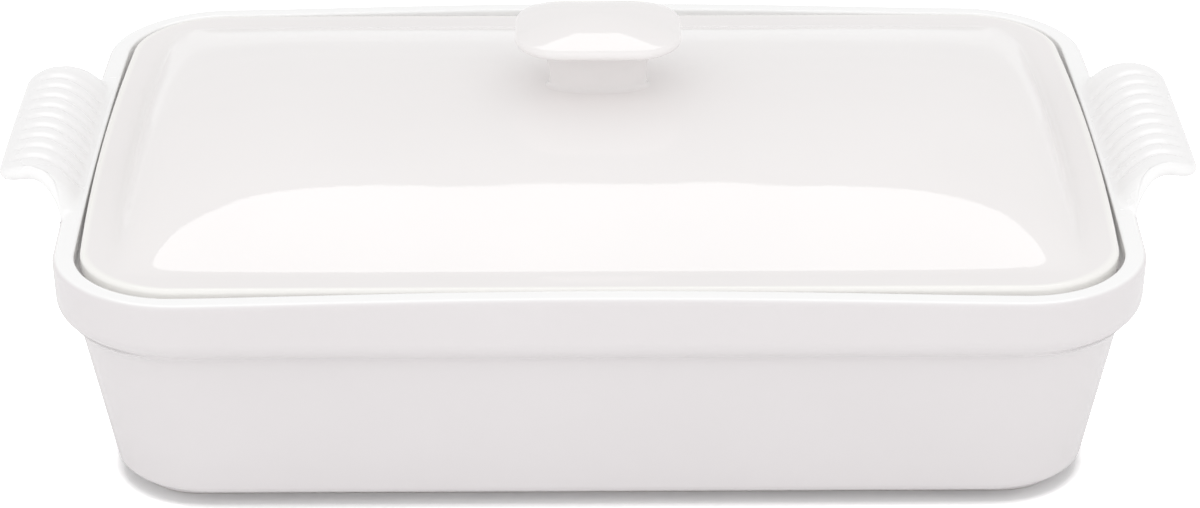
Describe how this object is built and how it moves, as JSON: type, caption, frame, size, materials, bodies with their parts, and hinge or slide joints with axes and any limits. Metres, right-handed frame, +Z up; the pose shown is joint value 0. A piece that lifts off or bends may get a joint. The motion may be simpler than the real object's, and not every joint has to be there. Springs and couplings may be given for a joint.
{
  "type": "covered casserole dish",
  "caption": "Rectangular stoneware baking dish with ribbed end handles and a lift-off domed lid with a knob, glazed white all over.",
  "frame": {"origin": "on the table under the middle of the foot", "axes": "+X along the length from one handle to the other, +Y from the front to the back, +Z up"},
  "size_m": [0.368, 0.2268, 0.1197],
  "materials": {
    "dish_glaze": "glossy white glaze",
    "lid_glaze": "glossy white glaze"
  },
  "bodies": {
    "dish": {"dish_body": "dish_glaze", "left_handle": "dish_glaze", "right_handle": "dish_glaze"},
    "lid": {"lid_shell": "lid_glaze", "lid_knob": "lid_glaze"}
  },
  "joints": [
    {"name": "lid_lift", "type": "slide", "parent": "dish", "child": "lid", "axis": [0, 0, 1], "range_m": [0, 0.15]}
  ]
}
